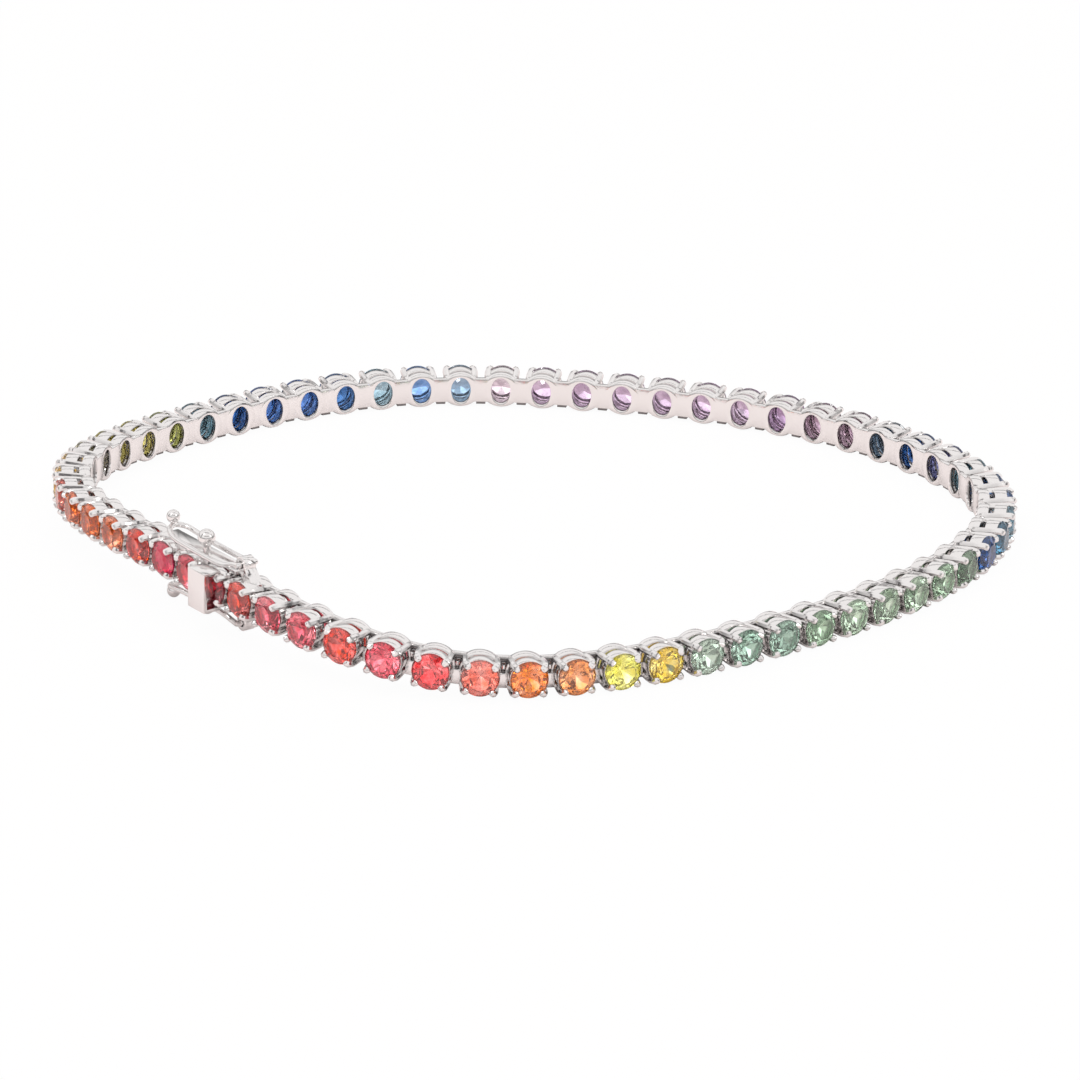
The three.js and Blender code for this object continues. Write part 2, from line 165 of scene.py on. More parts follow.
# The metal. White gold, cast and tumbled, then polished and rhodium plated: near white, mirror bright
# on its rounds, with a faint haze of rubbing, and painted shade: dark grey where shade falls between
# links.
def wear_group():
    """Fine rubbing: varies a roughness, and gives a height for the cast's ripple and its fine grain."""
    group = bpy.data.node_groups.new("fine rubbing", "ShaderNodeTree")
    for name, value in (("Roughness", 0.15), ("Haze", 0.1), ("Size", 900.0)):
        socket = group.interface.new_socket(name, in_out="INPUT", socket_type="NodeSocketFloat")
        socket.default_value = value
    for name in ("Roughness", "Height"):
        group.interface.new_socket(name, in_out="OUTPUT", socket_type="NodeSocketFloat")
    nodes, links = group.nodes, group.links
    takes = nodes.new("NodeGroupInput")
    gives = nodes.new("NodeGroupOutput")
    where = nodes.new("ShaderNodeTexCoord")
    haze = nodes.new("ShaderNodeTexNoise")
    haze.inputs["Detail"].default_value = 5.0
    haze.inputs["Roughness"].default_value = 0.62
    rub = nodes.new("ShaderNodeTexNoise")
    rub.inputs["Scale"].default_value = 5200.0
    rub.inputs["Detail"].default_value = 3.0
    spread = nodes.new("ShaderNodeMath")
    spread.operation = "MULTIPLY_ADD"
    total = nodes.new("ShaderNodeMath")
    total.operation = "ADD"
    links.new(where.outputs["Object"], haze.inputs["Vector"])
    links.new(where.outputs["Object"], rub.inputs["Vector"])
    links.new(takes.outputs["Size"], haze.inputs["Scale"])
    links.new(haze.outputs["Fac"], spread.inputs[0])
    links.new(takes.outputs["Haze"], spread.inputs[1])
    links.new(takes.outputs["Roughness"], spread.inputs[2])
    links.new(spread.outputs[0], gives.inputs["Roughness"])
    links.new(haze.outputs["Fac"], total.inputs[0])
    links.new(rub.outputs["Fac"], total.inputs[1])
    links.new(total.outputs[0], gives.inputs["Height"])
    return group


def white_gold(name, bright, recess_shade, roughness, haze, bump):
    """Polished white gold with painted shade: it goes dark grey where the piece's own shade attribute
    says.
    """
    material = bpy.data.materials.new(name)
    material.use_nodes = True
    nodes, links = material.node_tree.nodes, material.node_tree.links
    shader = nodes["Principled BSDF"]
    shader.inputs["Metallic"].default_value = 1.0
    rubbing = nodes.new("ShaderNodeGroup")
    rubbing.node_tree = FINE_RUBBING
    rubbing.inputs["Roughness"].default_value = roughness
    rubbing.inputs["Haze"].default_value = haze
    # The piece's painted shade attribute: where it is one, the metal takes the dark grey that stands for
    # shade.
    depth = nodes.new("ShaderNodeAttribute")
    depth.attribute_name = "recess_shade"
    shaded_tone = nodes.new("ShaderNodeMix")
    shaded_tone.data_type = "RGBA"
    shaded_tone.inputs["A"].default_value = (*bright, 1)
    shaded_tone.inputs["B"].default_value = (*recess_shade, 1)
    dents = nodes.new("ShaderNodeBump")
    dents.inputs["Strength"].default_value = bump
    dents.inputs["Distance"].default_value = 0.00002
    links.new(depth.outputs["Fac"], shaded_tone.inputs["Factor"])
    links.new(shaded_tone.outputs["Result"], shader.inputs["Base Color"])
    links.new(rubbing.outputs["Roughness"], shader.inputs["Roughness"])
    links.new(rubbing.outputs["Height"], dents.inputs["Height"])
    links.new(dents.outputs["Normal"], shader.inputs["Normal"])
    return material


FINE_RUBBING = wear_group()
# The second colour is painted shade: the dark grey put where the metal lies in shade.
POLISHED = white_gold(
    "polished white gold",
    bright=(0.84, 0.82, 0.815),
    recess_shade=(0.13, 0.12, 0.12),
    roughness=0.07,
    haze=0.12,
    bump=0.25,
)


# A link's setting, all of white gold: a base ring with an oval light hole on the wrist's side, a cup
# round the stone's back and four round prong wires soldered to both, with their ends pushed over the
# stone's edge.
STONE_RADIUS = 1.2
GIRDLE_DEPTH = -0.82
# Rings: inner and outer radius, depth of the front and of the back, and the rounding of the corners.
BASE_RING = (0.86, HALF_WIDTH, 0.45, 1.25, 0.165)
BASE_HOLE_WIDTH = 0.76
BASE_WIDTH = 1.13
CUP = (1.0, 1.17, -0.70, 0.15, 0.08)
CUP_WIDTH = 1.05
RING_STEPS = 36
PRONG_RADIUS = 0.23
PRONG_SIDES = 8
# Points of a prong from its foot to its end: across, in depth and up.
PRONG_PATH = [
    (0.92, 0.85, 0.72),
    (0.98, 0.30, 0.78),
    (1.00, -0.30, 0.84),
    (0.97, -0.70, 0.88),
    (0.90, -0.98, 0.86),
    (0.80, -1.10, 0.77),
]
DOME_LEAD = 0.7
DOME_STEP = 0.7
DOME_SHARES = (0.35, 0.78)
MERGE_WITHIN = 1e-5
SHARP_ANGLE = math.radians(32)
# Painted shade on a setting: how grey its sides that face a neighbour and its cup's hollow go, and
# between which depths.
SIDE_SHADE = 0.5
SIDE_SHADE_FROM = 1.05
SIDE_SHADE_TO = 1.3
HOLLOW_SHADE = 0.6
HOLLOW_RADIUS = 0.95
HOLLOW_FADE = 0.1
SHADE_FRONT = -0.55
SHADE_FRONT_FADE = 0.4
SHADE_BACK = 1.0
SHADE_BACK_FADE = 0.2


def rounded_profile(inner, outer, front, back, corner):
    """A rounded rectangle in radius and depth."""
    profile = []
    rounds = ((outer, back, 0), (inner, back, 90), (inner, front, 180), (outer, front, 270))
    for radius, depth, first in rounds:
        centre_r = radius + (corner if first in (90, 180) else -corner)
        centre_d = depth + (corner if first in (180, 270) else -corner)
        for turn in (0, 45, 90):
            angle = math.radians(first + turn)
            profile.append((centre_r + corner * math.cos(angle), centre_d + corner * math.sin(angle)))
    return profile


def spun_ring(bm, ring, hole=1.0, width=1.0):
    """A ring about Y. Its inner side is scaled in X by hole and its outer side by width."""
    profile = rounded_profile(*ring)
    before = set(bm.verts)
    corners = [bm.verts.new((radius, depth, 0)) for radius, depth in profile]
    edges = [bm.edges.new((a, b)) for a, b in zip(corners, corners[1:] + corners[:1])]
    bmesh.ops.spin(
        bm,
        geom=corners + edges,
        cent=(0, 0, 0),
        axis=(0, 1, 0),
        angle=math.tau,
        steps=RING_STEPS,
        use_merge=True,
    )
    radii = [radius for radius, _ in profile]
    middle = (min(radii) + max(radii)) / 2
    made = [v for v in bm.verts if v not in before]
    inner = [v for v in made if math.hypot(v.co.x, v.co.z) < middle]
    outer = [v for v in made if math.hypot(v.co.x, v.co.z) >= middle]
    bmesh.ops.scale(bm, vec=(hole, 1, 1), verts=inner)
    bmesh.ops.scale(bm, vec=(width, 1, 1), verts=outer)
    bmesh.ops.remove_doubles(bm, verts=made, dist=MERGE_WITHIN)


def edges_at(verts):
    """The edges at the verts, each once and always in the same order."""
    return list(dict.fromkeys(edge for vert in verts for edge in vert.link_edges))


def drawn_wire(bm, path, radii, sides):
    """A round wire through the path's points, each with its own radius, with both ends closed."""
    loop = bmesh.ops.create_circle(bm, cap_ends=False, radius=1, segments=sides)["verts"]
    made = set(loop)
    edges = edges_at(loop)
    side = None
    placed = Matrix.Identity(4)
    for i, (point, radius) in enumerate(zip(path, radii)):
        ahead = (path[min(i + 1, len(path) - 1)] - path[max(i - 1, 0)]).normalized()
        if side is None:
            side = ahead.orthogonal().normalized()
        side = (side - ahead * side.dot(ahead)).normalized()
        turn = Matrix((side * radius, ahead.cross(side) * radius, ahead)).transposed().to_4x4()
        goal = Matrix.Translation(point) @ turn
        if i > 0:
            grown = bmesh.ops.extrude_edge_only(bm, edges=edges)["geom"]
            loop = [item for item in grown if isinstance(item, bmesh.types.BMVert)]
            edges = [item for item in grown if isinstance(item, bmesh.types.BMEdge)]
            made.update(loop)
        bmesh.ops.transform(bm, matrix=goal @ placed.inverted(), verts=loop)
        placed = goal
    rims = [edge for edge in bm.edges if edge.is_boundary and edge.verts[0] in made]
    bmesh.ops.holes_fill(bm, edges=rims, sides=sides)


def domed(path, radius):
    """The path and radii of a wire whose two ends are rounded off."""
    start = path[0] + (path[0] - path[1]).normalized() * radius * DOME_LEAD
    end = path[-1] + (path[-1] - path[-2]).normalized() * radius * DOME_LEAD
    near_start = path[0].lerp(start, DOME_STEP)
    near_end = path[-1].lerp(end, DOME_STEP)
    cap = [radius * share for share in DOME_SHARES]
    return [start, near_start, *path, near_end, end], cap + [radius] * len(path) + cap[::-1]


def tidy_normals(bm):
    """Doubles merged and faces turned outwards, then edges marked sharp where faces meet at an angle."""
    bmesh.ops.remove_doubles(bm, verts=bm.verts, dist=MERGE_WITHIN)
    bmesh.ops.recalc_face_normals(bm, faces=bm.faces)
    for face in bm.faces:
        face.smooth = True
    for edge in bm.edges:
        edge.smooth = edge.calc_face_angle(0) < SHARP_ANGLE


def pattern(bm, name):
    """The bmesh as a mesh to be stamped at several places."""
    mesh = bpy.data.meshes.new(name)
    bm.to_mesh(mesh)
    bm.free()
    return mesh


def add_prongs(bm, path):
    """Four prongs, one in each quarter, from the path of the one at the right and above."""
    for side in (-1, 1):
        for up in (-1, 1):
            points = [Vector((x * side, y, z * up)) for x, y, z in path]
            drawn_wire(bm, *domed(points, PRONG_RADIUS), PRONG_SIDES)


def paint_recess_shade(bm, shade_layer):
    """Painted shade: dark grey within the cup and on the sides that face a neighbour, but not on the
    wrist's side.
    """
    for vert in bm.verts:
        beside = smooth_step(abs(vert.co.x) - SIDE_SHADE_FROM, SIDE_SHADE_TO - SIDE_SHADE_FROM)
        hollow = 1 - smooth_step(math.hypot(vert.co.x, vert.co.z) - HOLLOW_RADIUS, HOLLOW_FADE)
        behind = smooth_step(vert.co.y - SHADE_FRONT, SHADE_FRONT_FADE)
        behind *= 1 - smooth_step(vert.co.y - SHADE_BACK, SHADE_BACK_FADE)
        vert[shade_layer] = max(SIDE_SHADE * beside, HOLLOW_SHADE * hollow) * behind


def link_setting():
    bm = bmesh.new()
    spun_ring(bm, BASE_RING, hole=BASE_HOLE_WIDTH, width=BASE_WIDTH)
    spun_ring(bm, CUP, width=CUP_WIDTH)
    add_prongs(bm, PRONG_PATH)
    tidy_normals(bm)
    paint_recess_shade(bm, bm.verts.layers.float.new("recess_shade"))
    return pattern(bm, "link setting")


LINK_SETTING = link_setting()


# Between two links: a plate from ring to ring, flush with them on the wrist's side, and in front of it
# three knuckles on a riveted pin, which let the band bend. A backing, and before it a bright plate with
# a small pin above, show in the gap. Shade is painted in there and on the foot below: they go dark grey.
PLATE_HALF_HEIGHT = 0.84
PLATE_REACH = 0.62
# Blocks: two opposite corners and the rounding of the edges.
PLATE_AND_LEAVES = (
    ((-PLATE_REACH, 0.88, -PLATE_HALF_HEIGHT), (PLATE_REACH, 1.19, PLATE_HALF_HEIGHT), 0.05),
    ((-PLATE_REACH, 0.58, -0.2), (-0.1, 0.9, 0.2), 0.04),
    ((0.1, 0.58, -0.62), (PLATE_REACH, 0.9, -0.24), 0.04),
    ((0.1, 0.58, 0.24), (PLATE_REACH, 0.9, 0.62), 0.04),
)
# The backing is a block in the gap; the painted shade there makes it dark grey.
BACKING = ((-0.32, 0.62, -1.06), (0.32, 0.98, 0.78), 0.03)
FRONT_PLATE = ((-0.3, 0.0, -0.92), (0.3, 0.45, 0.06), 0.06)
BARREL_RADIUS = 0.25
BARREL_DEPTH = 0.72
KNUCKLES = ((-0.62, -0.24), (-0.2, 0.2), (0.24, 0.62))
KNUCKLE_ROUNDING = 0.04
RIVET_HALF_LENGTH = 0.68
PIN_RADIUS = 0.13
PIN_ROUNDING = 0.03
PIN_SIDES = 10
SMALL_PIN_CENTRE = (0, 0.2, 0.42)
# Painted shade on the hinge: dark grey in the gap between these depths, and on its foot below the plate.
GAP_SHADE = 0.95
GAP_SHADE_FRONT = 0.35
GAP_SHADE_FRONT_FADE = 0.2
GAP_SHADE_BACK = 0.76
GAP_SHADE_BACK_FADE = 0.12
FOOT_SHADE = 0.85
FOOT_SHADE_BELOW = -PLATE_HALF_HEIGHT - 0.1


def rounded_edges(bm, edges, rounding, segments=2):
    """The edges filed round: a bevel whose rounding is its width."""
    bmesh.ops.bevel(
        bm,
        geom=edges,
        offset=rounding,
        offset_type="OFFSET",
        affect="EDGES",
        segments=segments,
        profile=0.5,
        material=-1,
        clamp_overlap=True,
    )


def rounded_block(bm, low, high, rounding):
    """A block between two corners with its edges rounded."""
    made = bmesh.ops.create_cube(bm, size=1)["verts"]
    low, high = Vector(low), Vector(high)
    bmesh.ops.scale(bm, vec=high - low, verts=made)
    bmesh.ops.translate(bm, vec=(low + high) / 2, verts=made)
    rounded_edges(bm, edges_at(made), rounding)


def upright_round(bm, centre, radius, half_height, rounding, sides=16):
    """A short round bar along Z with its rims rounded."""
    x, y, z = centre
    steps = [(-half_height, radius - rounding), (-half_height + rounding, radius)]
    steps += [(half_height - rounding, radius), (half_height, radius - rounding)]
    path = [Vector((x, y, z + height)) for height, _ in steps]
    drawn_wire(bm, path, [width for _, width in steps], sides)


def hinge_between():
    bm = bmesh.new()
    for block in PLATE_AND_LEAVES:
        rounded_block(bm, *block)
    for low, high in KNUCKLES:
        centre = (0, BARREL_DEPTH, (low + high) / 2)
        upright_round(bm, centre, BARREL_RADIUS, (high - low) / 2, KNUCKLE_ROUNDING)
    upright_round(bm, (0, BARREL_DEPTH, 0), PIN_RADIUS, RIVET_HALF_LENGTH, PIN_ROUNDING, PIN_SIDES)
    rounded_block(bm, *BACKING)
    rounded_block(bm, *FRONT_PLATE)
    upright_round(bm, SMALL_PIN_CENTRE, PIN_RADIUS, PIN_RADIUS, PIN_ROUNDING, PIN_SIDES)
    tidy_normals(bm)
    shade_layer = bm.verts.layers.float.new("recess_shade")
    # Painted shade: the gap and the foot go grey as if in shade.
    for vert in bm.verts:
        in_gap = smooth_step(vert.co.y - GAP_SHADE_FRONT, GAP_SHADE_FRONT_FADE)
        in_gap *= 1 - smooth_step(vert.co.y - GAP_SHADE_BACK, GAP_SHADE_BACK_FADE)
        vert[shade_layer] = FOOT_SHADE if vert.co.z < FOOT_SHADE_BELOW else GAP_SHADE * in_gap
    return pattern(bm, "hinge between links")


def stamped(stamps):
    """One bmesh from many meshes, each set at its own place."""
    bm = bmesh.new()
    for mesh, place in stamps:
        before = len(bm.verts)
        bm.from_mesh(mesh)
        bm.verts.ensure_lookup_table()
        bmesh.ops.transform(bm, matrix=place, verts=bm.verts[before:])
    return bm


def finished(name, bm, material, body, slot, *nodes):
    """The bmesh as a piece in metres that rides on its body and stands for its CAD nodes."""
    bmesh.ops.scale(bm, vec=(MM, MM, MM), verts=bm.verts)
    mesh = bpy.data.meshes.new(name)
    bm.to_mesh(mesh)
    bm.free()
    mesh.materials.append(material)
    piece = bpy.data.objects.new(name, mesh)
    bpy.context.scene.collection.objects.link(piece)
    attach(piece, body)
    if nodes:
        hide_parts(*nodes)


HINGE = hinge_between()
front_end = span_place(hinges[0] * 2 - hinges[1], hinges[1])
back_end = span_place(hinges[-2], hinges[-1] * 2 - hinges[-2])
front = [(LINK_SETTING, place) for place in link_places[:FRONT_RUN_LINKS]]
front += [(HINGE, place) for place in plate_places[:FRONT_RUN_LINKS]]
front.append((HINGE, front_end))
back = [(LINK_SETTING, place) for place in link_places[FRONT_RUN_LINKS:]]
back += [(HINGE, place) for place in plate_places[FRONT_RUN_LINKS:]]
back.append((HINGE, back_end))
finished("settings_front", stamped(front), POLISHED, BODY, "white_gold", "link_run_front")
finished("settings_back", stamped(back), POLISHED, BODY, "white_gold", "link_run_back")


# The stones: natural sapphires in the round brilliant cut, sorted into a rainbow. Cut as on the wheel,
# one flat facet after another, from a round blank: the table, eight stars, eight mains in front and
# eight behind, then sixteen halves on either side of the girdle.
CROWN_HEIGHT = 0.38
TABLE_RADIUS = 0.70
GIRDLE_THICKNESS = 0.05
BLANK_SIDES = 32
BLANK_DEPTH = 4
STAR_SLOPE = math.radians(23)
CROWN_HALF_SLOPE = math.radians(41.5)
PAVILION_SLOPE = math.radians(41)
PAVILION_HALF_SLOPE = math.radians(42.5)
HALVES_RADIUS = STONE_RADIUS * 0.995
TURN_A_STONE = 1.3


def cut_facet(bm, azimuth, slope, radius, depth, towards):
    """Grinds away what lies outside a plane that passes at that radius and depth and leans by slope."""
    across, up = math.cos(azimuth), math.sin(azimuth)
    normal = Vector((across * math.sin(slope), towards * math.cos(slope), up * math.sin(slope)))
    made = bmesh.ops.bisect_plane(
        bm,
        geom=bm.verts[:] + bm.edges[:] + bm.faces[:],
        dist=MERGE_WITHIN,
        plane_co=Vector((across * radius, depth, up * radius)),
        plane_no=normal,
        clear_outer=True,
    )
    rim = [item for item in made["geom_cut"] if isinstance(item, bmesh.types.BMEdge)]
    if len(rim) > 2:
        bmesh.ops.contextual_create(bm, geom=rim)


def brilliant_stone():
    """A round brilliant about Y, its table towards -Y."""
    bm = bmesh.new()
    bmesh.ops.create_cone(
        bm,
        cap_ends=True,
        segments=BLANK_SIDES,
        radius1=STONE_RADIUS,
        radius2=STONE_RADIUS,
        depth=BLANK_DEPTH,
    )
    upright = Matrix.Rotation(math.pi / 2, 3, "X")
    bmesh.ops.rotate(bm, cent=(0, 0, 0), matrix=upright, verts=bm.verts)
    table = GIRDLE_DEPTH - CROWN_HEIGHT
    behind = GIRDLE_DEPTH + GIRDLE_THICKNESS
    eighth = math.pi / 4
    crown_slope = math.atan2(CROWN_HEIGHT, STONE_RADIUS - TABLE_RADIUS)
    star_radius = TABLE_RADIUS * math.cos(eighth / 2)
    cut_facet(bm, 0, 0, 0, table, -1)
    for i in range(8):
        cut_facet(bm, i * eighth, crown_slope, TABLE_RADIUS, table, -1)
        cut_facet(bm, (i + 0.5) * eighth, STAR_SLOPE, star_radius, table, -1)
        cut_facet(bm, i * eighth, PAVILION_SLOPE, STONE_RADIUS, behind, 1)
    for i in range(16):
        azimuth = (i + 0.5) * eighth / 2
        cut_facet(bm, azimuth, CROWN_HALF_SLOPE, HALVES_RADIUS, GIRDLE_DEPTH, -1)
        cut_facet(bm, azimuth, PAVILION_HALF_SLOPE, HALVES_RADIUS, behind, 1)
    bmesh.ops.remove_doubles(bm, verts=bm.verts, dist=MERGE_WITHIN * 10)
    bmesh.ops.recalc_face_normals(bm, faces=bm.faces)
    for face in bm.faces:
        face.smooth = False
    return pattern(bm, "brilliant stone")


STONE_COLOURS = {
    "ruby": (0.74, 0.03, 0.08),
    "raspberry": (0.88, 0.105, 0.15),
    "scarlet": (0.92, 0.06, 0.04),
    "red": (0.88, 0.075, 0.08),
    "coral": (0.95, 0.17, 0.11),
    "orange": (1.0, 0.225, 0.025),
    "light orange": (1.0, 0.36, 0.12),
    "flame": (1.0, 0.20, 0.045),
    "lemon": (0.98, 0.88, 0.12),
    "amber": (1.0, 0.67, 0.06),
    "grey green": (0.50, 0.64, 0.52),
    "sea green": (0.42, 0.62, 0.50),
    "pale green": (0.56, 0.74, 0.55),
    "leaf green": (0.46, 0.66, 0.46),
    "olive": (0.27, 0.42, 0.28),
    "deep blue": (0.035, 0.13, 0.42),
    "teal": (0.06, 0.22, 0.36),
    "steel teal": (0.20, 0.38, 0.48),
    "blue": (0.10, 0.24, 0.56),
    "violet blue": (0.18, 0.20, 0.50),
    "dark teal": (0.14, 0.22, 0.32),
    "mauve": (0.56, 0.38, 0.50),
    "purple": (0.52, 0.34, 0.55),
    "lilac": (0.70, 0.52, 0.70),
    "pale lilac": (0.80, 0.66, 0.75),
    "light blue": (0.38, 0.54, 0.72),
    "cornflower": (0.22, 0.40, 0.76),
    "pale teal": (0.40, 0.58, 0.68),
    "royal blue": (0.09, 0.22, 0.62),
    "yellow green": (0.62, 0.66, 0.18),
    "straw": (0.86, 0.76, 0.22),
    "pale straw": (0.78, 0.74, 0.52),
    "golden": (0.92, 0.56, 0.06),
}
STONES_ON_BAND = [
    ("raspberry", 2),
    ("scarlet", 1),
    ("raspberry", 1),
    ("red", 1),
    ("coral", 1),
    ("orange", 1),
    ("light orange", 1),
    ("lemon", 1),
    ("amber", 1),
    ("grey green", 1),
    ("sea green", 2),
    ("leaf green", 1),
    ("pale green", 3),
    ("leaf green", 1),
    ("olive", 1),
    ("deep blue", 1),
    ("teal", 1),
    ("steel teal", 1),
    ("blue", 2),
    ("steel teal", 1),
    ("violet blue", 1),
    ("deep blue", 1),
    ("dark teal", 1),
    ("mauve", 2),
    ("purple", 1),
    ("lilac", 6),
    ("pale lilac", 1),
    ("light blue", 1),
    ("cornflower", 1),
    ("pale teal", 1),
    ("blue", 1),
    ("royal blue", 2),
    ("deep blue", 1),
    ("steel teal", 1),
    ("yellow green", 1),
    ("straw", 2),
    ("pale straw", 1),
    ("golden", 2),
    ("coral", 1),
    ("flame", 3),
    ("scarlet", 1),
]


def remapped(nodes, taken, given):
    """A node that spreads the values between two limits over two others."""
    node = nodes.new("ShaderNodeMapRange")
    node.inputs["From Min"].default_value = taken[0]
    node.inputs["From Max"].default_value = taken[1]
    node.inputs["To Min"].default_value = given[0]
    node.inputs["To Max"].default_value = given[1]
    return node


def sapphire():
    """Clear tinted stone that bends light, with some body from its own silk."""
    material = bpy.data.materials.new("sapphire")
    material.use_nodes = True
    nodes, links = material.node_tree.nodes, material.node_tree.links
    shader = nodes["Principled BSDF"]
    shader.inputs["Transmission Weight"].default_value = 0.9
    shader.inputs["IOR"].default_value = 1.77
    shader.inputs["Roughness"].default_value = 0.02
    tint = nodes.new("ShaderNodeAttribute")
    tint.attribute_name = "tint"
    silk = nodes.new("ShaderNodeTexNoise")
    silk.inputs["Scale"].default_value = 1100.0
    silk.inputs["Detail"].default_value = 4.0
    where = nodes.new("ShaderNodeTexCoord")
    vary = nodes.new("ShaderNodeHueSaturation")
    brightness = remapped(nodes, (0.3, 0.7), (0.82, 1.3))
    depth_of_tint = remapped(nodes, (0.42, 0.7), (1.06, 0.7))
    links.new(where.outputs["Object"], silk.inputs["Vector"])
    links.new(silk.outputs["Fac"], brightness.inputs["Value"])
    links.new(silk.outputs["Fac"], depth_of_tint.inputs["Value"])
    links.new(brightness.outputs["Result"], vary.inputs["Value"])
    links.new(depth_of_tint.outputs["Result"], vary.inputs["Saturation"])
    links.new(tint.outputs["Color"], vary.inputs["Color"])
    links.new(vary.outputs["Color"], shader.inputs["Base Color"])
    return material


STONE = brilliant_stone()
SAPPHIRE = sapphire()
FACES_A_STONE = len(STONE.polygons)


def set_stones(name, places, colours):
    """The stones at their places, each turned a little in its setting and tinted its own colour."""
    turns = [Matrix.Rotation(TURN_A_STONE * i, 4, "Y") for i in range(len(places))]
    bm = stamped([(STONE, place @ turn) for place, turn in zip(places, turns)])
    tint = bm.loops.layers.float_color.new("tint")
    for i, face in enumerate(bm.faces):
        for loop in face.loops:
            loop[tint] = (*STONE_COLOURS[colours[i // FACES_A_STONE]], 1)
    finished(name, bm, SAPPHIRE, BODY, "sapphire")


band_colours = [name for name, count in STONES_ON_BAND for _ in range(count)]
set_stones("stones_front", link_places[:FRONT_RUN_LINKS], band_colours[:FRONT_RUN_LINKS])
set_stones("stones_back", link_places[FRONT_RUN_LINKS:], band_colours[FRONT_RUN_LINKS:])


# The clasp's box: sheet white gold folded and soldered, open at the tongue's end, its front scalloped
# round two settings. A round snap post stands on its top wall and one on its bottom wall.
BOX_LEFT = -5.77
BOX_RIGHT = 2.74
BOX_WALL = 0.28
BOX_FRONT = -0.35
BOX_ROUNDING = 0.05
INNER_FACE = 1.25
FRONT_CUT = station_x(2) - STONE_RADIUS - 0.14
CUT_DEPTH = 0.05
SCALLOP = 0.3
SCALLOP_HALF_WIDTH = 1.15
SCALLOP_STEPS = (-1.15, -0.9, -0.6, -0.3, 0, 0.3, 0.6, 0.9, 1.15)
TUCK = 0.05
LEFT_END_LENGTH = 1.6
LEFT_END_INSET = 0.03
FRONT_WALL = 0.25
FRONT_WALL_INSET = 0.1
BOX_CUP = (1.0, 1.17, -0.70, -0.1, 0.08)
SETTING_PATH = [
    (0.88, -0.05, 0.80),
    (0.96, -0.35, 0.84),
    (0.97, -0.70, 0.88),
    (0.90, -0.98, 0.86),
    (0.80, -1.10, 0.77),
]
POST_X = station_x(1) + 0.5
POST_DEPTH = 0.3
POST_NECK_RADIUS = 0.24
POST_FOOT_RADIUS = POST_NECK_RADIUS * 1.5
POST_SIDES = 16
POST_BALL_RADIUS = 0.57
POST_BALL_Z = HALF_WIDTH + 1.08
# Painted shade in the box: dark grey inside, growing towards the open end where the tongue goes in.
MOUTH_SHADE = 0.8
MOUTH_DEPTH = 1.5
MOUTH_FADE = 1.0
MOUTH_HALF_HEIGHT = 0.95


def faces_at(verts):
    """The faces at the verts, each once and always in the same order."""
    return list(dict.fromkeys(face for vert in verts for face in vert.link_faces))


def extruded_outline(bm, corners, way, rounding):
    """A flat outline pushed along a way, with its rims rounded."""
    verts = [bm.verts.new(corner) for corner in corners]
    face = bm.faces.new(verts)
    grown = bmesh.ops.extrude_face_region(bm, geom=[face])["geom"]
    moved = [item for item in grown if isinstance(item, bmesh.types.BMVert)]
    bmesh.ops.translate(bm, vec=way, verts=moved)
    bmesh.ops.recalc_face_normals(bm, faces=faces_at(verts + moved))
    rounded_edges(bm, edges_at(verts + moved), rounding)


def ball(bm, centre, radius):
    made = bmesh.ops.create_uvsphere(bm, u_segments=24, v_segments=14, radius=radius)["verts"]
    bmesh.ops.translate(bm, vec=centre, verts=made)


def snap_post(bm, up):
    """A post with a wide foot and a ball on its end, up 1 on the top wall and -1 on the bottom one."""
    heights = (HALF_WIDTH - 0.1, HALF_WIDTH + 0.02, HALF_WIDTH + 0.1, POST_BALL_Z)
    path = [Vector((POST_X, POST_DEPTH, up * z)) for z in heights]
    drawn_wire(bm, path, [POST_FOOT_RADIUS] * 2 + [POST_NECK_RADIUS] * 2, POST_SIDES)
    ball(bm, (POST_X, POST_DEPTH, up * POST_BALL_Z), POST_BALL_RADIUS)


